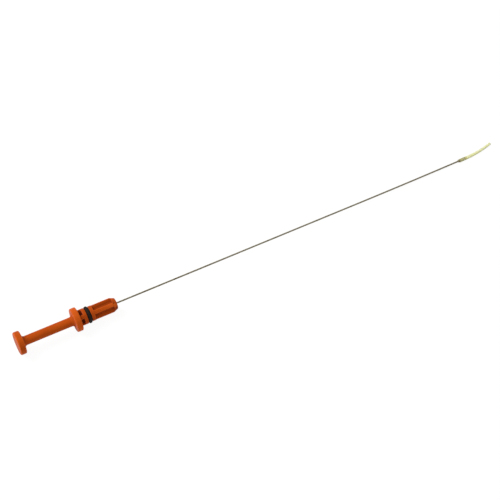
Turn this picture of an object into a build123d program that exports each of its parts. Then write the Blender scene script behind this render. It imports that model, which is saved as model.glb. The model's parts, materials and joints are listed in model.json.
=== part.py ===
from build123d import *
import math
import os

# Engine oil dipstick: a moulded handle with its seal ring, a stiff steel stem and a nylon gauge tip.
#
# Every piece is drawn in the handle's own frame: X runs along the handle's axis towards the tip, Z is up,
# and the origin is the middle of the flange's seat. The pieces are then turned together to the pose in
# which the dipstick lies on a bench, on the rim of its flange and on the sleeve and tongue of its tip.
# Sizes are in millimetres and angles in degrees.

# Finger button and shank
button_diameter = 20.9
button_thickness = 5.6
button_edge_chamfer = 0.65
shank_diameter = 8.25
shank_length = 47.1
shank_root_radius = 3.0

# Flange that seats on the mouth of the guide tube
flange_diameter = 21.4
flange_thickness = 5.3
flange_edge_chamfer = 0.5

# Neck below the flange, with a window between each two ribs and a closed land before the seal
neck_diameter = 14.4
window_length = 3.4
land_length = 3.0

# Rubber seal ring, how far it is stretched flat on the groove's floor, and the room beside it
ring_diameter = 15.4
ring_section = 3.4
ring_seat_squeeze = 0.2
groove_side_clearance = 0.25

# Plug: a closed collar, ribs round a core that stand a little inside its outline, and a tapered nose
plug_diameter = 13.65
collar_length = 3.0
panel_length = 18.2
rib_relief = 0.25
nose_length = 3.5
nose_taper_length = 4.4
nose_end_diameter = 9.7
nose_end_chamfer = 0.6

# Ribs of the neck and the plug, the first one this far round from upright towards the front
rib_count = 4
rib_width = 3.5
rib_roll = 30.0
rib_root_radius = 0.6
seal_edge_chamfer = 0.3

# The handle's round faces close along one line, this far round from upright towards the front
closing_line_roll = 1.6

# Steel stem: how much of it shows, how much of that is bent, and how far it runs into each moulding
stem_diameter = 1.5
stem_free_length = 344.4
stem_bent_length = 108.0
stem_in_handle = 27.0
stem_in_tip = 6.4

# Ferrule pressed on the stem inside the handle, and the wall of the core round it
ferrule_wall = 0.8
ferrule_length = 8.0
core_wall = 1.8

# Nylon tip: a sleeve round the stem, then a curled tongue that leans on the bench a little below it
sleeve_wall = 0.85
sleeve_length = 7.7
sleeve_entry_wall = 0.3
sleeve_entry_length = 2.0
sleeve_shoulder_length = 1.2
tongue_width = 2.8
tongue_end_width = 1.8
tongue_thickness = 1.9
tongue_length = 30.0
tongue_curl_radius = 97.0
tongue_end_radius = 0.7
tongue_lean = 0.03

# Level marks across both faces of the tongue: the low mark, the high mark and fine hatching between them
low_mark_from_end = 5.0
mark_spacing = 15.0
mark_width = 0.8
hatch_count = 6
hatch_width = 0.35
mark_depth = 0.15

# Places along the handle's axis, from the flange's seat
flange_back_x = -flange_thickness
button_back_x = flange_back_x - shank_length
button_end_x = button_back_x - button_thickness
land_x = window_length
groove_x = land_x + land_length
groove_width = ring_section + 2 * groove_side_clearance
collar_x = groove_x + groove_width
panel_x = collar_x + collar_length
nose_x = panel_x + panel_length
nose_end_x = nose_x + nose_length
taper_x = nose_end_x - nose_taper_length
stem_start_x = nose_end_x - stem_in_handle

# Fits that follow from the sizes above
ferrule_diameter = stem_diameter + 2 * ferrule_wall
core_diameter = ferrule_diameter + 2 * core_wall
rib_diameter = plug_diameter - 2 * rib_relief
groove_floor_diameter = ring_diameter - 2 * (ring_section - ring_seat_squeeze)
sleeve_diameter = stem_diameter + 2 * sleeve_wall
sleeve_entry_diameter = stem_diameter + 2 * sleeve_entry_wall
tongue_curl = tongue_length / tongue_curl_radius

# Resting pose. The flange's rim and the tip's sleeve touch the bench, so the handle dips towards the tip,
# and the stem's bent stretch turns just enough to lay the sleeve flat. The dip is so small that its sine
# and its angle are the same.
stem_straight_length = stem_free_length - stem_bent_length
rest_lever = flange_edge_chamfer + nose_end_x + stem_straight_length + stem_bent_length / 2
rest_dip = (flange_diameter - sleeve_diameter) / 2 / rest_lever
bend_radius = stem_bent_length / rest_dip
bend_start = Vector(nose_end_x + stem_straight_length, 0, 0)
bend_end = bend_start + Vector(math.sin(rest_dip), 0, 1 - math.cos(rest_dip)) * bend_radius
tip_place = Pos(bend_end) * Rot(0, -math.degrees(rest_dip), 0)
bench_pose = Rot(0, math.degrees(rest_dip), 0)

# The tongue lies over to the far side, so far that its edge touches the bench where its end starts to
# round off. A stick that lies on round rims rolls until its tip stops it in this way.
touch_turn = (tongue_length - tongue_end_radius) / tongue_curl_radius
touch_reach = tongue_curl_radius - (tongue_curl_radius - tongue_thickness / 2) * math.cos(touch_turn)
touch_radius = math.hypot(touch_reach, tongue_end_width / 2)
touch_depth = sleeve_diameter / 2 + tongue_lean
tongue_drop = math.asin(touch_depth / touch_radius) - math.atan2(tongue_end_width / 2, touch_reach)
tongue_lay = Rot(-90 - math.degrees(tongue_drop), 0, 0)


def step_section(start_x, end_x, diameter):
    """Upper half of the section through one round step, from the axis out."""
    step = Rectangle(end_x - start_x, diameter / 2, align=(Align.MIN, Align.MIN))
    return Pos(start_x, 0) * step


def corners_at(section, points):
    """The section's corners nearest to these points."""
    return [section.vertices().sort_by_distance(point)[0] for point in points]


def handle_section():
    """Upper half of the section through the solid handle, before its windows and panels are cut."""
    button_r = button_diameter / 2
    shank_r = shank_diameter / 2
    flange_r = flange_diameter / 2
    neck_r = neck_diameter / 2
    plug_r = plug_diameter / 2
    nose_r = nose_end_diameter / 2
    section = step_section(button_end_x, button_back_x, button_diameter)
    section += step_section(button_back_x, flange_back_x, shank_diameter)
    section += step_section(flange_back_x, 0, flange_diameter)
    section += step_section(0, groove_x, neck_diameter)
    section += step_section(groove_x, collar_x, groove_floor_diameter)
    section += step_section(collar_x, panel_x, plug_diameter)
    section += step_section(panel_x, taper_x, rib_diameter)
    section += make_face(
        Polyline(
            (taper_x, 0),
            (nose_end_x, 0),
            (nose_end_x, nose_r),
            (taper_x, rib_diameter / 2),
            close=True,
        )
    )
    button_edges = [(button_end_x, button_r), (button_back_x, button_r)]
    flange_edges = [(flange_back_x, flange_r), (0, flange_r)]
    shank_roots = [(button_back_x, shank_r), (flange_back_x, shank_r)]
    seal_edges = [(groove_x, neck_r), (collar_x, plug_r)]
    section = chamfer(corners_at(section, button_edges), button_edge_chamfer)
    section = chamfer(corners_at(section, flange_edges), flange_edge_chamfer)
    section = fillet(corners_at(section, shank_roots), shank_root_radius)
    section = chamfer(corners_at(section, seal_edges), seal_edge_chamfer)
    return chamfer(corners_at(section, [(nose_end_x, nose_r)]), nose_end_chamfer)


def pocket_cutter(start_x, length):
    """Material to take out between the ribs, round the core, over one length of the handle."""
    reach = flange_diameter / 2
    rib = Rectangle(flange_diameter, rib_width, align=(Align.MIN, Align.CENTER))
    ribs = PolarLocations(0, rib_count, 90 + rib_roll) * rib
    pockets = Circle(reach) - Circle(core_diameter / 2) - ribs
    roots = [corner for corner in pockets.vertices() if corner.center().length < reach / 2]
    pockets = fillet(roots, rib_root_radius)
    return extrude(Plane.YZ.offset(start_x) * pockets, length)


def make_stem():
    """Stem: straight from inside the handle, then one long bend, then straight into the tip."""
    start = Vector(stem_start_x, 0, 0)
    end_direction = Vector(math.cos(rest_dip), 0, math.sin(rest_dip))
    straight = Line(start, bend_start)
    bend = TangentArc(bend_start, bend_end, tangent=(1, 0, 0))
    inner_end = Line(bend_end, bend_end + end_direction * stem_in_tip)
    profile = Plane(start, z_dir=(1, 0, 0)) * Circle(stem_diameter / 2)
    return sweep(profile, path=Curve() + [straight, bend, inner_end])


def make_ferrule():
    """Sleeve pressed on the stem's hidden end."""
    sleeve = step_section(stem_start_x, stem_start_x + ferrule_length, ferrule_diameter)
    sleeve -= step_section(stem_start_x, stem_start_x + ferrule_length, stem_diameter)
    return revolve(sleeve, Axis.X)


def make_handle(stem, ferrule):
    """Handle moulding, with the room that the stem and its ferrule take up."""
    body = Rot(closing_line_roll, 0, 0) * revolve(Plane.XZ * handle_section(), Axis.X)
    body -= pocket_cutter(0, window_length)
    body -= pocket_cutter(panel_x, panel_length)
    return body - stem - ferrule


def make_ring():
    """Seal ring, round in section, stretched flat where it sits on the floor of its groove."""
    centre_x = groove_x + groove_width / 2
    section = Pos(centre_x, (ring_diameter - ring_section) / 2) * Circle(ring_section / 2)
    section -= step_section(groove_x, collar_x, groove_floor_diameter)
    return revolve(section, Axis.X)


def sleeve_solid():
    """Round sleeve of the tip, from its thin entry to its shoulder, in the tip's own frame."""
    shoulder_x = sleeve_length - sleeve_shoulder_length
    section = make_face(
        Polyline(
            (0, 0),
            (0, sleeve_entry_diameter / 2),
            (sleeve_entry_length, sleeve_diameter / 2),
            (shoulder_x, sleeve_diameter / 2),
            (sleeve_length, tongue_thickness / 2),
            (sleeve_length, 0),
            close=True,
        )
    )
    return revolve(section, Axis.X)


def tongue_solid():
    """Flat tongue that leaves the sleeve straight and curls towards +Z, narrowing to a rounded end."""
    root_x = sleeve_length - sleeve_shoulder_length
    plan_end_x = sleeve_length + (tongue_curl_radius + tongue_thickness) * math.sin(tongue_curl)
    side = Polyline((root_x, 0), (sleeve_length, 0))
    side += CenterArc((sleeve_length, tongue_curl_radius), tongue_curl_radius, 270, math.degrees(tongue_curl))
    strip = extrude(Plane.XZ * trace(side, tongue_thickness), tongue_width / 2, both=True)
    plan = make_face(
        Polyline(
            (root_x, -tongue_width / 2),
            (plan_end_x, -tongue_end_width / 2),
            (plan_end_x, tongue_end_width / 2),
            (root_x, tongue_width / 2),
            close=True,
        )
    )
    tongue = strip & extrude(plan, tongue_curl_radius, both=True)
    end_face = tongue.faces().sort_by(Axis.X)[-1]
    end_corners = end_face.edges().sort_by(Axis.Y)
    return fillet([end_corners[0], end_corners[-1]], tongue_end_radius)


def mark_cutter(from_end, width):
    """Shallow groove across both faces of the tongue, this far back along it from its end."""
    turn = tongue_curl - from_end / tongue_curl_radius
    curl_centre = Pos(sleeve_length, 0, tongue_curl_radius) * Rot(0, -math.degrees(turn), 0)
    groove = Box(width, 2 * tongue_width, 2 * mark_depth)
    faces = [tongue_thickness / 2 - tongue_curl_radius, -tongue_thickness / 2 - tongue_curl_radius]
    return [curl_centre * Pos(0, 0, face) * groove for face in faces]


def make_tip(stem):
    """Gauge tip: sleeve, and tongue with its level marks, moulded round the stem's end."""
    tongue = tongue_solid()
    tongue -= mark_cutter(low_mark_from_end, mark_width)
    tongue -= mark_cutter(low_mark_from_end + mark_spacing, mark_width)
    hatch_pitch = mark_spacing / (hatch_count + 1)
    for line in range(hatch_count):
        tongue -= mark_cutter(low_mark_from_end + (line + 1) * hatch_pitch, hatch_width)
    tip = sleeve_solid() + tongue_lay * tongue
    return tip_place * tip - stem


stem = make_stem()
ferrule = make_ferrule()
pieces = {
    "handle": make_handle(stem, ferrule),
    "seal_ring": make_ring(),
    "stem": stem,
    "anchor_ferrule": ferrule,
    "gauge_tip": make_tip(stem),
}

os.makedirs("parts", exist_ok=True)
for name, piece in pieces.items():
    export_step(bench_pose * piece, f"parts/{name}.step")
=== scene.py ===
import json
import math

import bmesh
import bpy
from bpy.props import FloatProperty, FloatVectorProperty, IntProperty, PointerProperty
from mathutils import Matrix, Vector


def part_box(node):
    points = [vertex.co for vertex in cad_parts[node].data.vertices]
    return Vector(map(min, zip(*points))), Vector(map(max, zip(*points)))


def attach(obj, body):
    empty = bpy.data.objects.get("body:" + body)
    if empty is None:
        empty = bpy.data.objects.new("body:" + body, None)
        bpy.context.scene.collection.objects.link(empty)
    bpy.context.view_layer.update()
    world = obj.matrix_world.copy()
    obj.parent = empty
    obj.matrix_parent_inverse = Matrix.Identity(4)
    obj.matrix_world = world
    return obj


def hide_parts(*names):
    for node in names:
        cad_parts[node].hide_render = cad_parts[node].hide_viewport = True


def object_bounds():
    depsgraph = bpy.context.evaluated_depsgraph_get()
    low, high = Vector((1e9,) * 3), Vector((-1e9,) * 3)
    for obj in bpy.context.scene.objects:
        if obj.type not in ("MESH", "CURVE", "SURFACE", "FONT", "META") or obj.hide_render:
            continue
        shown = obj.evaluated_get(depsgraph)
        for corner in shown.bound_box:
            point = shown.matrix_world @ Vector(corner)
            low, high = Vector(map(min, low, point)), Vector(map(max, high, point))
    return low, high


bl_info = {
    "name": "Engine Oil Dipstick",
    "version": (1, 0, 0),
    "blender": (4, 5, 0),
    "location": "View3D > Sidebar > Dipstick",
    "description": "Dresses an oil dipstick: moulded handle, seal ring, twisted wire stem and gauge tip",
    "category": "Object",
}

# The solids, the box round them, and the line that the handle points along from the middle of its seat
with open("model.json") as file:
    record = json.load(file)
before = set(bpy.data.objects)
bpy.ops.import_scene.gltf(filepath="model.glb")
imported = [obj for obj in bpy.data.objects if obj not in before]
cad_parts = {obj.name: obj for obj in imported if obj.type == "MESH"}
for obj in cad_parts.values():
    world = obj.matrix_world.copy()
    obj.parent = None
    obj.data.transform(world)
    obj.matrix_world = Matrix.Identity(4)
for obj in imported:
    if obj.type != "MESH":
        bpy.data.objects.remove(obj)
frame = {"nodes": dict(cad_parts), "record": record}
cad_low, cad_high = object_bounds()
mounts = {mount["name"]: mount for mount in frame["record"]["mounts"]}
handle_axis = Vector(mounts["tube_seat"]["axis"])
handle_dip = math.asin(-handle_axis.z)

# Points nearer than this are one point, faces flatter than this are one face, and faces that turn more than
# this meet at an edge. A rounded edge takes up no more than this share of the face beside it.
weld_distance = 2e-6
flat_angle = math.radians(0.6)
edge_angle = math.radians(24)
edge_share = 0.45

# A small round corner turns in this many steps, and a larger one takes one more for each length of radius
round_steps = 4
round_step_length = 0.0005
right_angle = math.pi / 2

# On the handle's skin, faces that turn less than this are smooth, and those that turn this far make an edge
smooth_turn = math.radians(6)
edge_turn = math.radians(18)

# Borders between the zones of a finish fade over one of these lengths
sharp_margin = 0.0001
soft_margin = 0.0003

# A wire has this many sides and takes this many steps to go once round the stem. This many lie side by side
# across it, and each has this many times its own thickness to lie in, so that no two of them touch.
wire_sides = 10
wire_steps = 16
wires_across = 3
wire_room = 1.01

# The floor's width, the gap between it and the part, and the width of the camera's sensor in millimetres
floor_width = 6.0
floor_gap = 0.00002
sensor_width = 36.0


class HandleSettings(bpy.types.PropertyGroup):
    """Sizes, colours and wear of the moulded handle, and the highlights and shade painted on it."""

    button_radius: FloatProperty(
        name="Button Radius",
        description="From the handle's axis to the finger button's rim",
        default=0.01045,
        precision=5,
        unit="LENGTH",
    )
    button_thickness: FloatProperty(
        name="Button Thickness",
        description="Length of the finger button",
        default=0.0056,
        precision=5,
        unit="LENGTH",
    )
    button_edge: FloatProperty(
        name="Button Edge",
        description="Rounding of the finger button's rim",
        default=0.0011,
        precision=5,
        unit="LENGTH",
    )
    shank_radius: FloatProperty(
        name="Shank Radius",
        description="From the handle's axis to the shank's side",
        default=0.004125,
        precision=5,
        unit="LENGTH",
    )
    shank_length: FloatProperty(
        name="Shank Length",
        description="From the finger button to the flange",
        default=0.0471,
        precision=5,
        unit="LENGTH",
    )
    shank_root: FloatProperty(
        name="Shank Root",
        description="Rounding where the shank meets the button and the flange",
        default=0.003,
        precision=5,
        unit="LENGTH",
    )
    flange_radius: FloatProperty(
        name="Flange Radius",
        description="From the handle's axis to the flange's rim",
        default=0.010698,
        precision=5,
        unit="LENGTH",
    )
    flange_thickness: FloatProperty(
        name="Flange Thickness",
        description="Length of the flange behind its seat",
        default=0.0053,
        precision=5,
        unit="LENGTH",
    )
    flange_edge: FloatProperty(
        name="Flange Edge",
        description="Rounding of the flange's rim",
        default=0.00085,
        precision=5,
        unit="LENGTH",
    )
    neck_radius: FloatProperty(
        name="Neck Radius",
        description="From the handle's axis to the outside of the neck round the windows",
        default=0.0072,
        precision=5,
        unit="LENGTH",
    )
    window_length: FloatProperty(
        name="Window Length",
        description="Length of the windows in front of the flange's seat",
        default=0.0034,
        precision=5,
        unit="LENGTH",
    )
    groove_start: FloatProperty(
        name="Groove Start",
        description="Where the seal's groove starts, from the flange's seat",
        default=0.0064,
        precision=5,
        unit="LENGTH",
    )
    groove_end: FloatProperty(
        name="Groove End",
        description="Where the seal's groove ends, from the flange's seat",
        default=0.0103,
        precision=5,
        unit="LENGTH",
    )
    groove_radius: FloatProperty(
        name="Groove Radius",
        description="From the handle's axis to the groove's floor",
        default=0.0045,
        precision=5,
        unit="LENGTH",
    )
    seal_edge: FloatProperty(
        name="Seal Edge",
        description="Rounding of the edges beside the seal",
        default=0.0005,
        precision=5,
        unit="LENGTH",
    )
    collar_radius: FloatProperty(
        name="Collar Radius",
        description="From the handle's axis to the closed collar behind the ribs",
        default=0.006825,
        precision=5,
        unit="LENGTH",
    )
    panel_start: FloatProperty(
        name="Panel Start",
        description="Where the pockets between the ribs start, from the flange's seat",
        default=0.0133,
        precision=5,
        unit="LENGTH",
    )
    panel_end: FloatProperty(
        name="Panel End",
        description="Where the pockets between the ribs end, from the flange's seat",
        default=0.0315,
        precision=5,
        unit="LENGTH",
    )
    core_radius: FloatProperty(
        name="Core Radius",
        description="From the handle's axis to the bottom of the windows and the pockets",
        default=0.00335,
        precision=5,
        unit="LENGTH",
    )
    rib_radius: FloatProperty(
        name="Rib Radius",
        description="From the handle's axis to the ribs' tops",
        default=0.006575,
        precision=5,
        unit="LENGTH",
    )
    rib_width: FloatProperty(
        name="Rib Width",
        description="Across each rib",
        default=0.0035,
        precision=5,
        unit="LENGTH",
    )
    rib_roll: FloatProperty(
        name="Rib Roll",
        description="Turn of the ribs and the mould's parting line from upright towards the front",
        default=math.radians(30),
        subtype="ANGLE",
    )
    root_radius: FloatProperty(
        name="Rib Root",
        description="Rounding where a rib meets the core",
        default=0.0006,
        precision=5,
        unit="LENGTH",
    )
    taper_start: FloatProperty(
        name="Taper Start",
        description="Where the plug starts to taper, from the flange's seat",
        default=0.0306,
        precision=5,
        unit="LENGTH",
    )
    nose_end: FloatProperty(
        name="Nose End",
        description="Where the plug ends, from the flange's seat",
        default=0.035,
        precision=5,
        unit="LENGTH",
    )
    nose_radius: FloatProperty(
        name="Nose Radius",
        description="From the handle's axis to the plug's side at its end",
        default=0.00485,
        precision=5,
        unit="LENGTH",
    )
    nose_edge: FloatProperty(
        name="Nose Edge",
        description="Rounding of the plug's end",
        default=0.001,
        precision=5,
        unit="LENGTH",
    )
    bore_radius: FloatProperty(
        name="Bore Radius",
        description="From the handle's axis to the stem's side",
        default=0.00075,
        precision=5,
        unit="LENGTH",
    )
    bore_end: FloatProperty(
        name="Bore End",
        description="Where the stem ends inside the handle, from the flange's seat",
        default=0.008,
        precision=5,
        unit="LENGTH",
    )
    anchor_radius: FloatProperty(
        name="Anchor Radius",
        description="From the handle's axis to the side of the ferrule on the stem",
        default=0.00155,
        precision=5,
        unit="LENGTH",
    )
    anchor_end: FloatProperty(
        name="Anchor End",
        description="Where the ferrule on the stem ends, from the flange's seat",
        default=0.016,
        precision=5,
        unit="LENGTH",
    )
    edge_radius: FloatProperty(
        name="Edge Radius",
        description="Rounding of the moulding's outer and inner edges",
        default=0.00035,
        min=0.00002,
        max=0.0006,
        precision=5,
        unit="LENGTH",
    )
    colour: FloatVectorProperty(
        name="Colour",
        description="Orange of the moulding",
        default=(0.5, 0.078, 0.005),
        size=3,
        min=0.0,
        max=1.0,
        subtype="COLOR",
    )
    # The deep colour also paints shade into the inward corners
    deep_colour: FloatVectorProperty(
        name="Deep Colour",
        description="Darker orange that clouds the moulding and stains it beside the seal",
        default=(0.38, 0.05, 0.003),
        size=3,
        min=0.0,
        max=1.0,
        subtype="COLOR",
    )
    # Paler orange of wear and streaks, also a painted highlight on rounded edges, the ribs and the flange's
    # rim
    worn_and_highlight_colour: FloatVectorProperty(
        name="Worn And Highlight Colour",
        description="Paler orange along rubbed edges, on the flange's rim and on the ribs",
        default=(0.74, 0.122, 0.012),
        size=3,
        min=0.0,
        max=1.0,
        subtype="COLOR",
    )
    # Brown painted as shade at the bottom of the windows and the pockets, and on the nose between the ribs
    painted_shade_colour: FloatVectorProperty(
        name="Painted Shade Colour",
        description="Oily brown at the bottom of the windows and the pockets",
        default=(0.17, 0.022, 0.0015),
        size=3,
        min=0.0,
        max=1.0,
        subtype="COLOR",
    )
    cloudiness: FloatProperty(
        name="Cloudiness",
        description="How far clouds of the deep colour show in the moulding",
        default=0.4,
        min=0.0,
        max=1.0,
        subtype="FACTOR",
    )
    streaks: FloatProperty(
        name="Streaks",
        description="How far streaks of the worn colour show along the moulding",
        default=0.18,
        min=0.0,
        max=1.0,
        subtype="FACTOR",
    )
    seal_stain: FloatProperty(
        name="Seal Stain",
        description="How far the moulding is stained on both sides of the seal",
        default=0.8,
        min=0.0,
        max=1.0,
        subtype="FACTOR",
    )
    # Painted shade: the inward corners are darkened with the deep colour
    corner_painted_shade: FloatProperty(
        name="Corner Painted Shade",
        description="How far the inner corners are stained",
        default=0.6,
        min=0.0,
        max=1.0,
        subtype="FACTOR",
    )
    # Partly wear, partly a painted highlight towards the flange's rim
    rim_wear_and_highlight: FloatProperty(
        name="Rim Wear And Highlight",
        description="How far the flange is rubbed towards its rim",
        default=0.6,
        min=0.0,
        max=1.0,
        subtype="FACTOR",
    )
    # Partly wear, partly a painted highlight along the rounded edges
    edge_wear_and_highlight: FloatProperty(
        name="Edge Wear And Highlight",
        description="How far the rounded edges are rubbed",
        default=0.8,
        min=0.0,
        max=1.0,
        subtype="FACTOR",
    )
    # Painted shade at the bottoms of the pockets
    pocket_painted_shade: FloatProperty(
        name="Pocket Painted Shade",
        description="How grimy the bottoms of the pockets are",
        default=0.5,
        min=0.0,
        max=1.0,
        subtype="FACTOR",
    )
    # Painted shade deep in the windows
    window_painted_shade: FloatProperty(
        name="Window Painted Shade",
        description="How grimy the windows are",
        default=0.95,
        min=0.0,
        max=1.0,
        subtype="FACTOR",
    )
    # Painted shade on the nose between the ribs
    nose_painted_shade: FloatProperty(
        name="Nose Painted Shade",
        description="How grimy the nose is between the ribs",
        default=0.65,
        min=0.0,
        max=1.0,
        subtype="FACTOR",
    )


class RingSettings(bpy.types.PropertyGroup):
    """Finish of the rubber seal ring."""

    colour: FloatVectorProperty(
        name="Colour",
        description="Black of the rubber",
        default=(0.008, 0.004, 0.002),
        size=3,
        min=0.0,
        max=1.0,
        subtype="COLOR",
    )
    dust_colour: FloatVectorProperty(
        name="Dust Colour",
        description="Grey bloom on the rubber",
        default=(0.018, 0.01, 0.006),
        size=3,
        min=0.0,
        max=1.0,
        subtype="COLOR",
    )
    flash_width: FloatProperty(
        name="Flash Width",
        description="Width of the line that the mould leaves round the ring",
        default=0.0002,
        min=0.0,
        max=0.001,
        precision=5,
        unit="LENGTH",
    )


class StemSettings(bpy.types.PropertyGroup):
    """Route and wires of the stem."""

    diameter: FloatProperty(
        name="Diameter",
        description="Across the twisted wires",
        default=0.0015,
        min=0.0005,
        max=0.004,
        precision=5,
        unit="LENGTH",
    )
    lay_length: FloatProperty(
        name="Lay Length",
        description="Length along the stem in which a wire goes once round",
        default=0.012,
        min=0.004,
        max=0.05,
        unit="LENGTH",
    )
    outer_wires: IntProperty(
        name="Outer Wires",
        description="Wires twisted round the middle one",
        default=6,
        min=3,
        max=12,
    )
    start: FloatProperty(
        name="Start",
        description="Where the stem starts inside the handle, from the flange's seat",
        default=0.008,
        unit="LENGTH",
    )
    bend_start: FloatProperty(
        name="Bend Start",
        description="Where the stem leaves the handle's line, from the flange's seat",
        default=0.2714,
        unit="LENGTH",
    )
    bent_length: FloatProperty(
        name="Bent Length",
        description="Stretch over which the stem bends level",
        default=0.108,
        unit="LENGTH",
    )
    handled_end: FloatProperty(
        name="Handled End",
        description="Where the handled and duller stretch of the stem ends, from the flange's seat",
        default=0.11,
        unit="LENGTH",
    )
    clean_start: FloatProperty(
        name="Clean Start",
        description="Where the cleaner stretch of the stem starts, from the flange's seat",
        default=0.15,
        unit="LENGTH",
    )
    clean_tarnish: FloatProperty(
        name="Clean Tarnish",
        description="Share of the tarnish that is left on the cleaner stretch",
        default=0.55,
        min=0.0,
        max=1.0,
        subtype="FACTOR",
    )
    colour: FloatVectorProperty(
        name="Colour",
        description="Dull steel of the wires",
        default=(0.31, 0.285, 0.21),
        size=3,
        min=0.0,
        max=1.0,
        subtype="COLOR",
    )
    tarnish_colour: FloatVectorProperty(
        name="Tarnish Colour",
        description="Brown of the tarnish and old oil on the wires",
        default=(0.15, 0.12, 0.065),
        size=3,
        min=0.0,
        max=1.0,
        subtype="COLOR",
    )


class TipSettings(bpy.types.PropertyGroup):
    """Sizes and colours of the nylon gauge tip."""

    edge_radius: FloatProperty(
        name="Edge Radius",
        description="Rounding of the tip's edges",
        default=0.00012,
        min=0.00002,
        max=0.0004,
        precision=5,
        unit="LENGTH",
    )
    sleeve_length: FloatProperty(
        name="Sleeve Length",
        description="Stretch of the tip that wraps the stem",
        default=0.0077,
        unit="LENGTH",
    )
    colour: FloatVectorProperty(
        name="Colour",
        description="Natural nylon",
        default=(0.98, 0.97, 0.5),
        size=3,
        min=0.0,
        max=1.0,
        subtype="COLOR",
    )
    sleeve_colour: FloatVectorProperty(
        name="Sleeve Colour",
        description="Nylon with the steel of the stem showing through it",
        default=(0.5, 0.47, 0.225),
        size=3,
        min=0.0,
        max=1.0,
        subtype="COLOR",
    )
    # Darker brown at the sleeve's mouth, where the stem goes in
    mouth_colour: FloatVectorProperty(
        name="Mouth Colour",
        description="Brown of old oil in the sleeve's mouth",
        default=(0.24, 0.2, 0.1),
        size=3,
        min=0.0,
        max=1.0,
        subtype="COLOR",
    )


class StageSettings(bpy.types.PropertyGroup):
    """Camera, floor and light."""

    camera_turn: FloatProperty(
        name="Camera Turn",
        description="How far the camera is turned round to the left of straight in front",
        default=math.radians(26.57),
        subtype="ANGLE",
    )
    camera_elevation: FloatProperty(
        name="Camera Elevation",
        description="How far the camera looks down",
        default=math.radians(59),
        subtype="ANGLE",
    )
    camera_distance: FloatProperty(
        name="Camera Distance",
        description="From the camera to what it looks at",
        default=1.44,
        unit="LENGTH",
    )
    aim_right: FloatProperty(
        name="Aim Right",
        description="How far to the right of the flange's seat the camera looks, as it sees it",
        default=0.1477,
        unit="LENGTH",
    )
    aim_up: FloatProperty(
        name="Aim Up",
        description="How far above the flange's seat the camera looks, as it sees it",
        default=0.05915,
        unit="LENGTH",
    )
    lens: FloatProperty(
        name="Lens",
        description="Focal length on a 36 mm sensor",
        default=120.0,
        unit="CAMERA",
    )
    softbox_power: FloatProperty(
        name="Softbox Power",
        description="Power of the softbox",
        default=15.5,
        unit="POWER",
    )
    softbox_size: FloatProperty(
        name="Softbox Size",
        description="Length of each side of the softbox",
        default=0.8,
        unit="LENGTH",
    )
    softbox_place: FloatVectorProperty(
        name="Softbox Place",
        description="From the middle of the part to the softbox",
        default=(-0.81, 0.65, 1.08),
        size=3,
        subtype="XYZ_LENGTH",
    )
    fill: FloatProperty(
        name="Fill",
        description="Light that comes evenly from all round",
        default=0.48,
        min=0.0,
    )
    floor_glow: FloatProperty(
        name="Floor Glow",
        description="Share of the floor that shows as plain white, so that only a faint shadow is left",
        default=0.88,
        min=0.0,
        max=1.0,
    )


def add_node(tree, kind, inputs=(), **settings):
    """Add a node. Its inputs are sockets' names or numbers, each with a value or an output to link."""
    node = tree.nodes.new(kind)
    for name, value in settings.items():
        setattr(node, name, value)
    for name, value in dict(inputs).items():
        if isinstance(value, bpy.types.NodeSocket):
            tree.links.new(value, node.inputs[name])
        else:
            node.inputs[name].default_value = value
    return node


def empty_tree(owner):
    """The node tree of a material or of the world, with nothing in it."""
    owner.use_nodes = True
    owner.node_tree.nodes.clear()
    return owner.node_tree


def new_material(name):
    """A material, its node tree with a Principled shader and an output in place, and that shader."""
    material = bpy.data.materials.new(name)
    tree = empty_tree(material)
    shader = add_node(tree, "ShaderNodeBsdfPrincipled")
    add_node(tree, "ShaderNodeOutputMaterial", {"Surface": shader.outputs[0]})
    return material, tree, shader


def own_place(tree, scale=(1, 1, 1), turn=(0, 0, 0), middle=(0, 0, 0)):
    """Coordinates on the piece, from a chosen middle, turned back by some angles and then stretched."""
    place = add_node(tree, "ShaderNodeTexCoord").outputs["Object"]
    moved = add_node(tree, "ShaderNodeVectorMath", {0: place, 1: middle}, operation="SUBTRACT")
    turned = add_node(
        tree,
        "ShaderNodeVectorRotate",
        {"Vector": moved.outputs[0], "Rotation": turn},
        rotation_type="EULER_XYZ",
    )
    stretched = add_node(
        tree,
        "ShaderNodeVectorMath",
        {0: turned.outputs[0], 1: scale},
        operation="MULTIPLY",
    )
    return stretched.outputs[0]


def noise(tree, place, scale, detail=2.0, roughness=0.5):
    """Value noise from 0 to 1, with this many lumps to a metre."""
    node = add_node(
        tree,
        "ShaderNodeTexNoise",
        {"Vector": place, "Scale": scale, "Detail": detail, "Roughness": roughness},
    )
    return node.outputs["Fac"]


def spread(tree, value, low, high, to_low=0.0, to_high=1.0):
    """Carry a value from one range over to another, held at its ends."""
    node = add_node(
        tree,
        "ShaderNodeMapRange",
        {"Value": value, "From Min": low, "From Max": high, "To Min": to_low, "To Max": to_high},
    )
    return node.outputs[0]


def fade(tree, value, low, high):
    """1 up to a low value, fading to 0 at a high one."""
    return spread(tree, value, low, high, to_low=1.0, to_high=0.0)


def compute(tree, operation, first, second=0.0):
    """One sum on one or two values."""
    return add_node(tree, "ShaderNodeMath", {0: first, 1: second}, operation=operation).outputs[0]


def product(tree, *values):
    """Several values multiplied together."""
    result = values[0]
    for value in values[1:]:
        result = compute(tree, "MULTIPLY", result, value)
    return result


def between(tree, value, low, high, margin):
    """1 where a value lies between two limits, fading to 0 over a margin outside them."""
    off_middle = compute(tree, "ABSOLUTE", compute(tree, "SUBTRACT", value, (low + high) / 2))
    half = (high - low) / 2
    return fade(tree, off_middle, half, half + margin)


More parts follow.
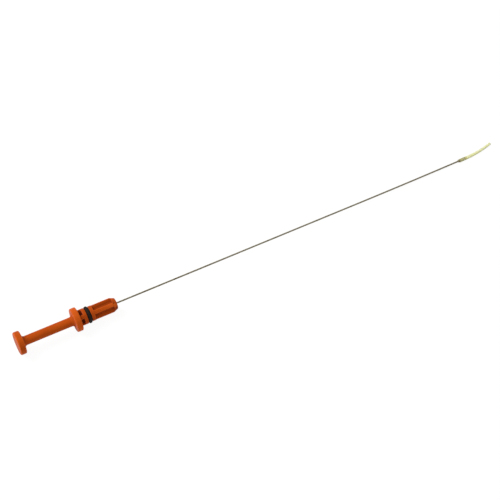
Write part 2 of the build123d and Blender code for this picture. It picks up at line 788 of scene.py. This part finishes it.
def blend(tree, share, first, second):
    """Mix two colours, each a plain colour or an output."""
    colours = []
    for colour in (first, second):
        linked = isinstance(colour, bpy.types.NodeSocket)
        colours.append(colour if linked else (*colour, 1.0))
    node = add_node(
        tree,
        "ShaderNodeMix",
        {"Factor": share, "A": colours[0], "B": colours[1]},
        data_type="RGBA",
    )
    return node.outputs["Result"]


def layered(tree, ground, *layers):
    """A colour with others laid over it in turn. A layer is the share that shows, and its colour."""
    for share, colour in layers:
        ground = blend(tree, share, ground, colour)
    return ground


def grained(tree, grain, smooth, rough):
    """Roughness that follows a noise, from a smooth end to a rough one."""
    return spread(tree, grain, low=0.3, high=0.7, to_low=smooth, to_high=rough)


def bump(tree, height, distance, below=None):
    """Surface normal of a height, this deep in metres, laid over another normal if there is one."""
    inputs = {"Height": height, "Distance": distance, "Strength": 1.0}
    if below is not None:
        inputs["Normal"] = below
    return add_node(tree, "ShaderNodeBump", inputs).outputs[0]


def handle_zones(tree, settings, along, across, upward):
    """Distance from the handle's axis, 1 in line with a rib, and 1 on the side of the nose."""
    squares = [compute(tree, "MULTIPLY", value, value) for value in (across, upward)]
    radius = compute(tree, "SQRT", compute(tree, "ADD", *squares))
    distances = [compute(tree, "ABSOLUTE", value) for value in (across, upward)]
    off_rib = compute(tree, "MINIMUM", *distances)
    half_rib = settings.rib_width / 2
    half_edge = settings.edge_radius / 2
    rib_line = fade(tree, off_rib, half_rib - half_edge, half_rib + half_edge)
    nose = spread(tree, along, settings.panel_end, settings.panel_end + soft_margin)
    nose_face = settings.nose_radius - settings.nose_edge
    nose_side = product(tree, nose, spread(tree, radius, nose_face, settings.nose_radius))
    return radius, rib_line, nose_side


def handle_wear_and_highlight(tree, settings, along, radius, rib_line, nose_side):
    """How far the handle is worn and lit with a painted highlight: on the ribs' tops, in line with them on
    the nose, on the flange towards its rim.
    """
    rib_side = settings.rib_radius - settings.edge_radius
    rib_top = spread(tree, radius, rib_side, rib_side + settings.edge_radius / 2)
    plug = spread(tree, along, settings.panel_start, settings.panel_start + soft_margin)
    ribs = product(tree, rib_line, compute(tree, "MAXIMUM", rib_top, nose_side), plug)
    flange = between(tree, along, -settings.flange_thickness, 0.0, sharp_margin)
    towards_rim = spread(tree, radius, low=0.0062, high=0.0075)
    return compute(tree, "MAXIMUM", ribs, product(tree, flange, towards_rim, settings.rim_wear_and_highlight))


def handle_painted_shade(tree, settings, along, radius, rib_line, nose_side):
    """How much shade is painted on the handle: deep in its pockets and windows, and on the nose between the
    ribs.
    """
    rib_side = settings.rib_radius - settings.edge_radius
    pocket_depth = fade(tree, radius, settings.core_radius, rib_side)
    pockets = between(tree, along, settings.panel_start, settings.panel_end, sharp_margin)
    bottoms = compute(tree, "POWER", pocket_depth, 2.5)
    in_pockets = product(tree, bottoms, pockets, settings.pocket_painted_shade)
    window_middle = (settings.core_radius + settings.neck_radius) / 2
    neck_side = settings.neck_radius - settings.edge_radius
    window_depth = fade(tree, radius, window_middle, neck_side)
    windows = between(tree, along, 0.0, settings.window_length, sharp_margin)
    in_windows = product(tree, window_depth, windows, settings.window_painted_shade)
    between_ribs = compute(tree, "SUBTRACT", 1.0, rib_line)
    on_nose = product(tree, nose_side, between_ribs, settings.nose_painted_shade)
    in_recesses = compute(tree, "MAXIMUM", in_pockets, in_windows)
    return compute(tree, "MAXIMUM", in_recesses, on_nose)


def orange_plastic(settings):
    """Moulded orange plastic: cloudy pigment, fine grain, parting line, edges worn and lit with a painted
    highlight, painted shade in corners and recesses.
    """
    material, tree, shader = new_material("Orange plastic")
    place = own_place(tree)
    drawn_out = own_place(tree, scale=(0.08, 1, 1), turn=(0, handle_dip, 0))
    mould = own_place(tree, turn=(settings.rib_roll, handle_dip, 0))
    along, across, upward = add_node(tree, "ShaderNodeSeparateXYZ", {0: mould}).outputs
    zones = handle_zones(tree, settings, along, across, upward)
    clouds = spread(tree, noise(tree, place, scale=85.0, detail=3.0), low=0.35, high=0.7)
    streaks = spread(tree, noise(tree, drawn_out, scale=420.0), low=0.4, high=0.75)
    patches = spread(tree, noise(tree, place, scale=300.0, detail=3.0), low=0.35, high=0.65, to_low=0.6)
    beside_seal = between(tree, along, settings.window_length, settings.panel_start, soft_margin)
    corner = add_node(tree, "ShaderNodeAttribute", attribute_name="corner").outputs["Fac"]
    edge = add_node(tree, "ShaderNodeAttribute", attribute_name="edge").outputs["Fac"]
    # Paler along rounded edges, on the ribs' tops, on the nose in line with the ribs and towards the
    # flange's rim: partly wear, partly a painted highlight
    worn_and_lit_edges = product(tree, edge, patches, settings.edge_wear_and_highlight)
    worn_and_lit_places = product(tree, handle_wear_and_highlight(tree, settings, along, *zones), patches)
    worn_and_lit = compute(tree, "MAXIMUM", worn_and_lit_edges, worn_and_lit_places)
    pigment = layered(
        tree,
        settings.colour,
        (product(tree, clouds, settings.cloudiness), settings.deep_colour),
        (product(tree, streaks, settings.streaks), settings.worn_and_highlight_colour),
        (product(tree, beside_seal, patches, settings.seal_stain), settings.deep_colour),
        # painted shade in the inward corners
        (product(tree, corner, settings.corner_painted_shade), settings.deep_colour),
        # partly wear, partly a painted highlight
        (worn_and_lit, settings.worn_and_highlight_colour),
        # painted shade deep in the pockets and windows, and on the nose between the ribs
        (handle_painted_shade(tree, settings, along, *zones), settings.painted_shade_colour),
    )
    tree.links.new(pigment, shader.inputs["Base Color"])

    grain = noise(tree, place, scale=2600.0)
    polish = product(tree, worn_and_lit, 0.06)
    satin = compute(tree, "SUBTRACT", grained(tree, grain, smooth=0.40, rough=0.52), polish)
    tree.links.new(satin, shader.inputs["Roughness"])
    shader.inputs["Specular IOR Level"].default_value = 0.03
    shader.inputs["Sheen Weight"].default_value = 0.07
    shader.inputs["Sheen Roughness"].default_value = 0.4

    parting_line = fade(tree, compute(tree, "ABSOLUTE", across), low=0.00005, high=0.00016)
    surface = bump(tree, parting_line, distance=0.00004)
    surface = bump(tree, grain, distance=0.000012, below=surface)
    tree.links.new(surface, shader.inputs["Normal"])
    return material


def black_rubber(settings, middle):
    """Matte black rubber with a grey bloom, and the fine line that the mould leaves round the ring."""
    material, tree, shader = new_material("Black rubber")
    place = own_place(tree, turn=(0, handle_dip, 0), middle=middle)
    bloom = spread(tree, noise(tree, place, scale=500.0, detail=4.0, roughness=0.6), low=0.45, high=0.75)
    rubber = blend(tree, bloom, settings.colour, settings.dust_colour)
    tree.links.new(rubber, shader.inputs["Base Color"])
    pores = noise(tree, place, scale=4200.0, detail=3.0)
    tree.links.new(grained(tree, pores, smooth=0.58, rough=0.8), shader.inputs["Roughness"])
    shader.inputs["Specular IOR Level"].default_value = 0.15

    along = add_node(tree, "ShaderNodeSeparateXYZ", {0: place}).outputs["X"]
    half_width = settings.flash_width / 2
    flash = fade(tree, compute(tree, "ABSOLUTE", along), half_width / 2, half_width)
    surface = bump(tree, flash, distance=0.00006)
    surface = bump(tree, pores, distance=0.00001, below=surface)
    tree.links.new(surface, shader.inputs["Normal"])
    return material


def drawn_steel(name, settings, tarnish):
    """Drawn steel with fine lines along it, dulled by brown tarnish, the more so where it is handled."""
    material, tree, shader = new_material(name)
    place = own_place(tree)
    drawn_out = own_place(tree, scale=(0.03, 1, 1))
    along = add_node(tree, "ShaderNodeSeparateXYZ", {0: place}).outputs["X"]
    patches = spread(tree, noise(tree, place, scale=260.0, detail=4.0, roughness=0.6), low=0.38, high=0.66)
    lines = noise(tree, drawn_out, scale=9000.0)
    handled = spread(
        tree,
        along,
        settings.handled_end,
        settings.clean_start,
        to_low=1.0,
        to_high=settings.clean_tarnish,
    )
    dark_lines = product(tree, lines, 0.25)
    steel = layered(
        tree,
        settings.colour,
        (product(tree, patches, handled, tarnish), settings.tarnish_colour),
        (dark_lines, settings.tarnish_colour),
    )
    tree.links.new(steel, shader.inputs["Base Color"])
    dull_patches = product(tree, patches, 0.15)
    rough = compute(tree, "ADD", grained(tree, lines, smooth=0.3, rough=0.42), dull_patches)
    tree.links.new(rough, shader.inputs["Roughness"])
    shader.inputs["Metallic"].default_value = 1.0
    tree.links.new(bump(tree, lines, distance=0.000004), shader.inputs["Normal"])
    return material


def natural_nylon(settings, start_x):
    """Milky natural nylon, olive where steel shows through its sleeve and brown in the sleeve's mouth."""
    material, tree, shader = new_material("Natural nylon")
    place = own_place(tree, middle=(start_x, 0, 0))
    along = add_node(tree, "ShaderNodeSeparateXYZ", {0: place}).outputs["X"]
    sleeve_lengths = compute(tree, "DIVIDE", along, settings.sleeve_length)
    sleeve = fade(tree, sleeve_lengths, low=1.0, high=1.25)
    mouth = fade(tree, sleeve_lengths, low=0.1, high=0.35)
    clouds = spread(tree, noise(tree, place, scale=220.0, detail=3.0), low=0.3, high=0.7)
    faint_clouds = product(tree, clouds, 0.12)
    nylon = layered(
        tree,
        settings.colour,
        (faint_clouds, settings.sleeve_colour),
        (sleeve, settings.sleeve_colour),
        (mouth, settings.mouth_colour),
    )
    tree.links.new(nylon, shader.inputs["Base Color"])
    shader.inputs["Subsurface Weight"].default_value = 1.0
    shader.inputs["Subsurface Radius"].default_value = (1.0, 0.95, 0.6)
    shader.inputs["Subsurface Scale"].default_value = 0.004
    grain = noise(tree, place, scale=2400.0)
    tree.links.new(grained(tree, grain, smooth=0.34, rough=0.46), shader.inputs["Roughness"])
    shader.inputs["Specular IOR Level"].default_value = 0.35
    tree.links.new(bump(tree, grain, distance=0.000008), shader.inputs["Normal"])
    return material


def link_piece(name, mesh):
    """Put a mesh in the scene as a piece at the origin."""
    piece = bpy.data.objects.new(name, mesh)
    bpy.context.scene.collection.objects.link(piece)
    return piece


def make_plain(piece):
    """Turn what the piece's modifiers make into its own plain mesh."""
    graph = bpy.context.evaluated_depsgraph_get()
    mesh = bpy.data.meshes.new_from_object(piece.evaluated_get(graph))
    piece.modifiers.clear()
    piece.data = mesh


def smooth_mesh(name, shape):
    """A smoothly shaded mesh from a shape that is then no longer needed."""
    for face in shape.faces:
        face.smooth = True
    mesh = bpy.data.meshes.new(name)
    shape.to_mesh(mesh)
    shape.free()
    return mesh


def solid_copy(node, name):
    """A piece with a solid's shape. Its loose facets are joined, and those that lie flat are one face."""
    shape = bmesh.new()
    shape.from_mesh(frame["nodes"][node].data)
    bmesh.ops.remove_doubles(shape, verts=shape.verts, dist=weld_distance)
    bmesh.ops.dissolve_limit(shape, angle_limit=flat_angle, verts=shape.verts, edges=shape.edges)
    mesh = smooth_mesh(name, shape)
    facet_normals = mesh.attributes.get("custom_normal")
    if facet_normals is not None:
        mesh.attributes.remove(facet_normals)
    return link_piece(name, mesh)


def reach_across(corner):
    """How far a face reaches straight across from the middle of the edge that starts at its corner."""
    start = corner.vert.co
    end = corner.link_loop_next.vert.co
    middle = (start + end) / 2
    direction = (end - start).normalized()
    inward = corner.face.normal.cross(direction)
    reaches = []
    for other in corner.face.loops:
        ends = [other.vert.co - middle, other.link_loop_next.vert.co - middle]
        aside, next_aside = [point.dot(direction) for point in ends]
        ahead, next_ahead = [point.dot(inward) for point in ends]
        if other != corner and aside * next_aside < 0:
            reaches.append(ahead + (next_ahead - ahead) * aside / (aside - next_aside))
    return min((reach for reach in reaches if reach > 0), default=0.0)


def round_edges(piece, radius, from_x):
    """Round the edges past one place along the piece, where faces have room, and keep the others sharp."""
    shape = bmesh.new()
    shape.from_mesh(piece.data)
    weights = shape.edges.layers.float.new("bevel_weight_edge")
    for line in shape.edges:
        sharp = line.calc_face_angle(0.0) > edge_angle
        past = min(point.co.x for point in line.verts) > from_x
        line.smooth = past or not sharp
        if sharp and past:
            room = min(reach_across(corner) for corner in line.link_loops)
            line[weights] = min(room * edge_share / radius, 1.0)
    shape.to_mesh(piece.data)
    shape.free()
    bevel = piece.modifiers.new("Rounded edges", "BEVEL")
    bevel.width = radius
    bevel.segments = 3
    bevel.limit_method = "WEIGHT"
    bevel.use_clamp_overlap = False
    bevel.harden_normals = True
    make_plain(piece)


def arc_points(middle, radius, start, end):
    """Points on an arc across the handle, by the turn from its second direction, without the last one."""
    points = []
    for step in range(round_steps):
        turn = start + (end - start) * step / round_steps
        points.append(Vector((middle[0] + radius * math.sin(turn), middle[1] + radius * math.cos(turn))))
    return points


def rib_outline(settings, radius):
    """Outline across the four ribs, with their tops at one radius and rounded at their edges and roots."""
    half_width = settings.rib_width / 2
    edge = settings.edge_radius
    root = settings.root_radius
    core = settings.core_radius
    top_turn = math.asin((half_width - edge) / (radius - edge))
    root_turn = math.asin((half_width + root) / (core + root))
    side_top = (radius - edge) * math.cos(top_turn)
    side_bottom = (core + root) * math.cos(root_turn)
    half = arc_points((0, 0), radius, 0, top_turn)
    half += arc_points((half_width - edge, side_top), edge, top_turn, right_angle)
    for step in range(round_steps):
        half.append(Vector((half_width, side_top + (side_bottom - side_top) * step / round_steps)))
    half += arc_points((half_width + root, side_bottom), root, -right_angle, root_turn - 2 * right_angle)
    half += arc_points((0, 0), core, root_turn, right_angle / 2)
    rib = [Vector((-point.x, point.y)) for point in reversed(half[1:])] + half
    return [Matrix.Rotation(-quarter * right_angle, 2) @ point for quarter in range(4) for point in rib]


def rib_ring(outline, along):
    """Ring of points on an outline across the ribs at one place along the handle."""
    return [Vector((along, *point)) for point in outline]


def round_rings(outline, corners):
    """Round rings over a path of corners, each with its place along, its distance out and its radius.

    The rings' points lie out from the axis in the same directions as those of an outline across the ribs.
    """
    path = [Vector(corners[0][:2])]
    for before, corner, after in zip(corners, corners[1:], corners[2:]):
        middle = Vector(corner[:2])
        radius = corner[2]
        back = (Vector(before[:2]) - middle).normalized()
        onward = (Vector(after[:2]) - middle).normalized()
        half_turn = back.angle(onward) / 2
        centre = middle + (back + onward).normalized() * radius / math.sin(half_turn)
        start = middle + back * radius / math.tan(half_turn) - centre
        end = middle + onward * radius / math.tan(half_turn) - centre
        steps = round_steps + int(radius / round_step_length)
        for step in range(steps + 1):
            path.append(centre + start.lerp(end, step / steps).normalized() * radius)
    path.append(Vector(corners[-1][:2]))
    directions = [point.normalized() for point in outline]
    return [[Vector((along, *(direction * out))) for direction in directions] for along, out in path]


def edge_rings(before, after, radius, arriving, lean=0.0):
    """Rings over one edge of the wall between two rings, where it leaves the first or reaches the second.

    What follows the wall may lean inward, by this share of its way along the handle.
    """
    rings = []
    for step in range(round_steps + 1):
        turn = right_angle * step / round_steps
        ring = []
        for start, end in zip(before, after):
            height = (end - start).length
            bend = min(radius, height * edge_share)
            if arriving:
                forward = bend * (1 - math.cos(turn))
                climb = height - bend * (1 - math.sin(turn))
            else:
                forward = bend * (math.sin(turn) - 1)
                climb = bend * (1 - math.cos(turn))
            up_wall = (end - start).normalized()
            inward = Vector((0, -end.y, -end.z)).normalized()
            onward = Vector((1, 0, 0)) + inward * lean
            ring.append(start + up_wall * climb + onward * forward)
        rings.append(ring)
    return rings


def wall_rings(before, after, radius, lean=0.0):
    """Rings over the wall between two rings, rounded at both of its edges."""
    leaving = edge_rings(before, after, radius, arriving=False)
    return leaving + edge_rings(before, after, radius, arriving=True, lean=lean)


def handle_rings(settings):
    """Rings over the whole handle: button, shank, flange, windowed neck, groove, ribs, nose and bore."""
    edge = settings.edge_radius
    flange_back = -settings.flange_thickness
    button_back = flange_back - settings.shank_length
    button_end = button_back - settings.button_thickness
    slope = (settings.rib_radius - settings.nose_radius) / (settings.nose_end - settings.taper_start)
    panel_end_radius = settings.rib_radius - slope * (settings.panel_end - settings.taper_start)
    neck = rib_outline(settings, settings.neck_radius)
    ribs = rib_outline(settings, settings.rib_radius)
    rib_ends = rib_outline(settings, panel_end_radius)
    rings = round_rings(neck, [
        (button_end, 0, 0),
        (button_end, settings.button_radius, settings.button_edge),
        (button_back, settings.button_radius, settings.button_edge),
        (button_back, settings.shank_radius, settings.shank_root),
        (flange_back, settings.shank_radius, settings.shank_root),
        (flange_back, settings.flange_radius, settings.flange_edge),
        (0, settings.flange_radius, settings.flange_edge),
        (0, (settings.flange_radius + settings.neck_radius) / 2, 0),
    ])
    rings += edge_rings(rings[-1], rib_ring(neck, 0), edge, arriving=True)
    land = round_rings(neck, [
        (settings.window_length, settings.neck_radius, 0),
        (settings.groove_start, settings.neck_radius, settings.seal_edge),
        (settings.groove_start, settings.groove_radius, edge),
        (settings.groove_end, settings.groove_radius, edge),
        (settings.groove_end, settings.collar_radius, settings.seal_edge),
        (settings.panel_start, settings.collar_radius, 0),
    ])
    rings += wall_rings(rib_ring(neck, settings.window_length), land[0], edge)
    rings += land[1:-1]
    rings += wall_rings(land[-1], rib_ring(ribs, settings.panel_start), edge)
    rings.append(rib_ring(ribs, settings.taper_start))
    nose = round_rings(rib_ends, [
        (settings.panel_end, panel_end_radius, 0),
        (settings.nose_end, settings.nose_radius, settings.nose_edge),
        (settings.nose_end, settings.bore_radius, edge),
        (settings.anchor_end, settings.bore_radius, 0),
        (settings.anchor_end, settings.anchor_radius, 0),
        (settings.bore_end, settings.anchor_radius, 0),
        (settings.bore_end, 0, 0),
    ])
    rings += wall_rings(rib_ring(rib_ends, settings.panel_end), nose[0], edge, lean=slope)
    return rings + nose[1:]


def skin_piece(name, rings, place):
    """A closed piece whose skin runs from ring to ring, set in its place by a matrix."""
    shape = bmesh.new()
    points = [[shape.verts.new(place @ point) for point in ring] for ring in rings]
    for ring, following in zip(points, points[1:]):
        for corner in range(len(ring)):
            shape.faces.new((ring[corner - 1], ring[corner], following[corner], following[corner - 1]))
    bmesh.ops.remove_doubles(shape, verts=shape.verts, dist=weld_distance)
    bmesh.ops.recalc_face_normals(shape, faces=shape.faces)
    piece = link_piece(name, smooth_mesh(name, shape))
    piece.modifiers.new("Flat faces stay flat", "WEIGHTED_NORMAL")
    make_plain(piece)
    return piece


def handle_place(settings):
    """Matrix from the handle's directions to the frame: along it, across its first rib, out along that."""
    upright = Vector((math.sin(handle_dip), 0, math.cos(handle_dip)))
    front = Vector((0, -1, 0))
    across = front * math.cos(settings.rib_roll) - upright * math.sin(settings.rib_roll)
    out = upright * math.cos(settings.rib_roll) + front * math.sin(settings.rib_roll)
    return Matrix((handle_axis, across, out)).transposed()


def edge_amount(turn):
    """How far two faces that turn by this angle make an edge, from 0 to 1."""
    return min(max((turn - smooth_turn) / (edge_turn - smooth_turn), 0.0), 1.0)


def mark_edges(piece):
    """Note on each point how far it stands on an outward edge, and how far in an inward corner."""
    shape = bmesh.new()
    shape.from_mesh(piece.data)
    edges = []
    corners = []
    for point in shape.verts:
        turns = [line.calc_face_angle_signed(0.0) for line in point.link_edges]
        edges.append(edge_amount(max(turns)))
        corners.append(edge_amount(-min(turns)))
    shape.free()
    piece.data.attributes.new("edge", "FLOAT", "POINT").data.foreach_set("value", edges)
    piece.data.attributes.new("corner", "FLOAT", "POINT").data.foreach_set("value", corners)


def finish_piece(piece, material, slot, *nodes):
    """Give the piece its finish and hand it over in place of its solids."""
    piece.data.materials.clear()
    piece.data.materials.append(material)
    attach(piece, "root")
    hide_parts(*nodes)


def stem_route(settings):
    """Points along the stem: down the handle's line, round a long bend until level, then into the tip."""
    bend_steps = 24
    bend_radius = settings.bent_length / handle_dip
    bend_from = handle_axis * settings.bend_start
    points = [handle_axis * settings.start]
    for step in range(bend_steps + 1):
        slope = handle_dip * (step / bend_steps - 1)
        forward = math.sin(slope) + math.sin(handle_dip)
        upward = math.cos(handle_dip) - math.cos(slope)
        points.append(bend_from + Vector((forward, 0, upward)) * bend_radius)
    stem_end_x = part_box("stem")[1].x
    points.append(Vector((stem_end_x, 0, points[-1].z)))
    return points


def twisted_wires_tree(material):
    """Geometry nodes that lay one straight wire along a path and twist the outer wires round it."""
    tree = bpy.data.node_groups.new("Twisted wires", "GeometryNodeTree")
    sockets = tree.interface
    sockets.new_socket("Path", in_out="INPUT", socket_type="NodeSocketGeometry")
    sockets.new_socket("Diameter", in_out="INPUT", socket_type="NodeSocketFloat")
    sockets.new_socket("Lay Length", in_out="INPUT", socket_type="NodeSocketFloat")
    sockets.new_socket("Outer Wires", in_out="INPUT", socket_type="NodeSocketInt")
    sockets.new_socket("Stem", in_out="OUTPUT", socket_type="NodeSocketGeometry")
    given = add_node(tree, "NodeGroupInput").outputs

    step = compute(tree, "DIVIDE", given["Lay Length"], wire_steps)
    path = add_node(tree, "GeometryNodeMeshToCurve", {"Mesh": given["Path"]})
    path = add_node(
        tree,
        "GeometryNodeResampleCurve",
        {"Curve": path.outputs[0], "Length": step},
        mode="LENGTH",
    )
    length = add_node(tree, "GeometryNodeSplineParameter").outputs["Length"]
    turns = compute(tree, "DIVIDE", length, given["Lay Length"])
    twist = compute(tree, "MULTIPLY", turns, 2 * math.pi)
    path = add_node(tree, "GeometryNodeSetCurveTilt", {"Curve": path.outputs[0], "Tilt": twist})

    wire_radius = compute(tree, "DIVIDE", given["Diameter"], 2 * wires_across * wire_room)
    ring_radius = compute(tree, "DIVIDE", given["Diameter"], wires_across)
    wire = add_node(
        tree,
        "GeometryNodeCurvePrimitiveCircle",
        {"Resolution": wire_sides, "Radius": wire_radius},
    )
    ring = add_node(
        tree,
        "GeometryNodeMeshCircle",
        {"Vertices": given["Outer Wires"], "Radius": ring_radius},
    )
    outer = add_node(
        tree,
        "GeometryNodeInstanceOnPoints",
        {"Points": ring.outputs[0], "Instance": wire.outputs[0]},
    )
    outer = add_node(tree, "GeometryNodeRealizeInstances", {0: outer.outputs[0]})
    wires = add_node(tree, "GeometryNodeJoinGeometry")
    tree.links.new(outer.outputs[0], wires.inputs[0])
    tree.links.new(wire.outputs[0], wires.inputs[0])

    stem = add_node(
        tree,
        "GeometryNodeCurveToMesh",
        {"Curve": path.outputs[0], "Profile Curve": wires.outputs[0], "Fill Caps": True},
    )
    stem = add_node(tree, "GeometryNodeSetShadeSmooth", {0: stem.outputs[0]})
    stem = add_node(tree, "GeometryNodeRealizeInstances", {0: stem.outputs[0]})
    stem = add_node(tree, "GeometryNodeSetMaterial", {0: stem.outputs[0], "Material": material})
    add_node(tree, "NodeGroupOutput", {"Stem": stem.outputs[0]})
    return tree


def seen_directly(tree):
    """1 for what the camera sees, also by reflection or through clear things, and 0 for falling light."""
    path = add_node(tree, "ShaderNodeLightPath").outputs
    seen = compute(tree, "MAXIMUM", path["Is Camera Ray"], path["Is Glossy Ray"])
    return compute(tree, "MAXIMUM", seen, path["Is Transmission Ray"])


def make_floor(settings):
    """A wide white floor under the part, which keeps a faint shadow."""
    half = floor_width / 2
    level = cad_low.z - floor_gap
    corners = [(-half, -half, level), (half, -half, level), (half, half, level), (-half, half, level)]
    mesh = bpy.data.meshes.new("floor")
    mesh.from_pydata(corners, [], [(0, 1, 2, 3)])
    floor = link_piece("floor", mesh)
    material = bpy.data.materials.new("White floor")
    tree = empty_tree(material)
    matte = add_node(tree, "ShaderNodeBsdfDiffuse", {"Color": (0.9, 0.9, 0.9, 1)})
    glow = add_node(tree, "ShaderNodeEmission", {"Color": (1, 1, 1, 1), "Strength": 1.06})
    share = compute(tree, "MULTIPLY", seen_directly(tree), settings.floor_glow)
    mixed = add_node(tree, "ShaderNodeMixShader", {0: share, 1: matte.outputs[0], 2: glow.outputs[0]})
    add_node(tree, "ShaderNodeOutputMaterial", {"Surface": mixed.outputs[0]})
    mesh.materials.append(material)


def make_world(settings):
    """Even light from all round, which shows as white."""
    world = bpy.data.worlds.new("Studio")
    tree = empty_tree(world)
    strength = spread(tree, seen_directly(tree), low=0.0, high=1.0, to_low=settings.fill, to_high=1.0)
    light = add_node(tree, "ShaderNodeBackground", {"Color": (1, 1, 1, 1), "Strength": strength})
    add_node(tree, "ShaderNodeOutputWorld", {"Surface": light.outputs[0]})
    bpy.context.scene.world = world


def make_softbox(settings):
    """One softbox high up behind the handle's end, so that the part's far upper side is the brightest."""
    data = bpy.data.lights.new("Softbox", "AREA")
    data.shape = "RECTANGLE"
    data.size = settings.softbox_size
    data.size_y = settings.softbox_size
    data.energy = settings.softbox_power
    softbox = bpy.data.objects.new("Softbox", data)
    bpy.context.scene.collection.objects.link(softbox)
    offset = Vector(settings.softbox_place)
    softbox.location = (cad_low + cad_high) / 2 + offset
    softbox.rotation_euler = offset.to_track_quat("Z", "Y").to_euler()


def make_camera(settings):
    """The camera, turned and raised round the flange's seat and aimed beside it."""
    turn = settings.camera_turn
    elevation = settings.camera_elevation
    right = Vector((math.cos(turn), -math.sin(turn), 0))
    away = Vector((math.sin(turn), math.cos(turn), 0))
    upright = Vector((0, 0, 1))
    up = away * math.sin(elevation) + upright * math.cos(elevation)
    back = upright * math.sin(elevation) - away * math.cos(elevation)
    data = bpy.data.cameras.new("Camera")
    data.sensor_width = sensor_width
    data.lens = settings.lens
    camera = bpy.data.objects.new("Camera", data)
    bpy.context.scene.collection.objects.link(camera)
    aim = right * settings.aim_right + up * settings.aim_up
    directions = Matrix((right, up, back)).transposed()
    camera.matrix_world = Matrix.Translation(aim + back * settings.camera_distance) @ directions.to_4x4()
    bpy.context.scene.camera = camera


class DIPSTICK_OT_handle(bpy.types.Operator):
    """Make the moulded handle with rounded edges and its orange plastic."""

    bl_idname = "dipstick.handle"
    bl_label = "Make Handle"

    def execute(self, context):
        settings = context.scene.dipstick_handle
        handle = skin_piece("moulded_handle", handle_rings(settings), handle_place(settings))
        mark_edges(handle)
        finish_piece(handle, orange_plastic(settings), "handle_plastic", "handle")
        return {"FINISHED"}


class DIPSTICK_OT_seal_ring(bpy.types.Operator):
    """Make the smooth rubber seal ring."""

    bl_idname = "dipstick.seal_ring"
    bl_label = "Make Seal Ring"

    def execute(self, context):
        low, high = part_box("seal_ring")
        ring = solid_copy("seal_ring", "rubber_seal_ring")
        rubber = black_rubber(context.scene.dipstick_ring, (low + high) / 2)
        finish_piece(ring, rubber, "seal_rubber", "seal_ring")
        return {"FINISHED"}


class DIPSTICK_OT_stem(bpy.types.Operator):
    """Lay the stem's twisted wires along its route, and finish the ferrule on its hidden end."""

    bl_idname = "dipstick.stem"
    bl_label = "Make Stem"

    def execute(self, context):
        settings = context.scene.dipstick_stem
        points = stem_route(settings)
        path = bpy.data.meshes.new("stem_path")
        path.from_pydata(points, [(step, step + 1) for step in range(len(points) - 1)], [])
        stem = link_piece("twisted_wire_stem", path)
        steel = drawn_steel("Dulled steel wire", settings, tarnish=1.0)
        tree = twisted_wires_tree(steel)
        wires = stem.modifiers.new("Twisted wires", "NODES")
        wires.node_group = tree
        sizes = {
            "Diameter": settings.diameter,
            "Lay Length": settings.lay_length,
            "Outer Wires": settings.outer_wires,
        }
        for socket in tree.interface.items_tree:
            if socket.name in sizes:
                wires[socket.identifier] = sizes[socket.name]
        make_plain(stem)
        finish_piece(stem, steel, "stem_steel", "stem")

        ferrule = frame["nodes"]["anchor_ferrule"]
        ferrule.material_slots[0].material = drawn_steel("Pressed steel", settings, tarnish=0.3)
        return {"FINISHED"}


class DIPSTICK_OT_gauge_tip(bpy.types.Operator):
    """Make the nylon gauge tip."""

    bl_idname = "dipstick.gauge_tip"
    bl_label = "Make Gauge Tip"

    def execute(self, context):
        settings = context.scene.dipstick_tip
        tip = solid_copy("gauge_tip", "nylon_gauge_tip")
        start_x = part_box("gauge_tip")[0].x
        round_edges(tip, settings.edge_radius, start_x + settings.sleeve_length)
        finish_piece(tip, natural_nylon(settings, start_x), "tip_nylon", "gauge_tip")
        return {"FINISHED"}


class DIPSTICK_OT_stage(bpy.types.Operator):
    """Set the floor, the light and the camera."""

    bl_idname = "dipstick.stage"
    bl_label = "Set Stage"

    def execute(self, context):
        settings = context.scene.dipstick_stage
        make_floor(settings)
        make_world(settings)
        make_softbox(settings)
        make_camera(settings)
        context.scene.view_settings.view_transform = "Standard"
        return {"FINISHED"}


class DIPSTICK_PT_pieces(bpy.types.Panel):
    """Buttons for the dipstick's pieces, with the sizes and colours that they use."""

    bl_idname = "DIPSTICK_PT_pieces"
    bl_label = "Engine Oil Dipstick"
    bl_space_type = "VIEW_3D"
    bl_region_type = "UI"
    bl_category = "Dipstick"

    def draw(self, context):
        for operator, group in piece_steps:
            box = self.layout.box()
            box.operator(operator.bl_idname)
            settings = getattr(context.scene, group)
            for name in settings.bl_rna.properties.keys():
                if name not in ("rna_type", "name"):
                    box.prop(settings, name)


# Each step's operator with its group of settings, in the order in which they run
piece_steps = (
    (DIPSTICK_OT_handle, "dipstick_handle"),
    (DIPSTICK_OT_seal_ring, "dipstick_ring"),
    (DIPSTICK_OT_stem, "dipstick_stem"),
    (DIPSTICK_OT_gauge_tip, "dipstick_tip"),
    (DIPSTICK_OT_stage, "dipstick_stage"),
)
setting_groups = {
    "dipstick_handle": HandleSettings,
    "dipstick_ring": RingSettings,
    "dipstick_stem": StemSettings,
    "dipstick_tip": TipSettings,
    "dipstick_stage": StageSettings,
}


def register():
    """Register the settings, the operators and the panel."""
    for name, group in setting_groups.items():
        bpy.utils.register_class(group)
        setattr(bpy.types.Scene, name, PointerProperty(type=group))
    for operator, _ in piece_steps:
        bpy.utils.register_class(operator)
    bpy.utils.register_class(DIPSTICK_PT_pieces)


def unregister():
    """Take back everything that register adds."""
    bpy.utils.unregister_class(DIPSTICK_PT_pieces)
    for operator, _ in reversed(piece_steps):
        bpy.utils.unregister_class(operator)
    for name, group in reversed(setting_groups.items()):
        delattr(bpy.types.Scene, name)
        bpy.utils.unregister_class(group)


def main():
    """Make every piece and the stage."""
    register()
    bpy.ops.dipstick.handle()
    bpy.ops.dipstick.seal_ring()
    bpy.ops.dipstick.stem()
    bpy.ops.dipstick.gauge_tip()
    bpy.ops.dipstick.stage()


if __name__ == "__main__":
    main()
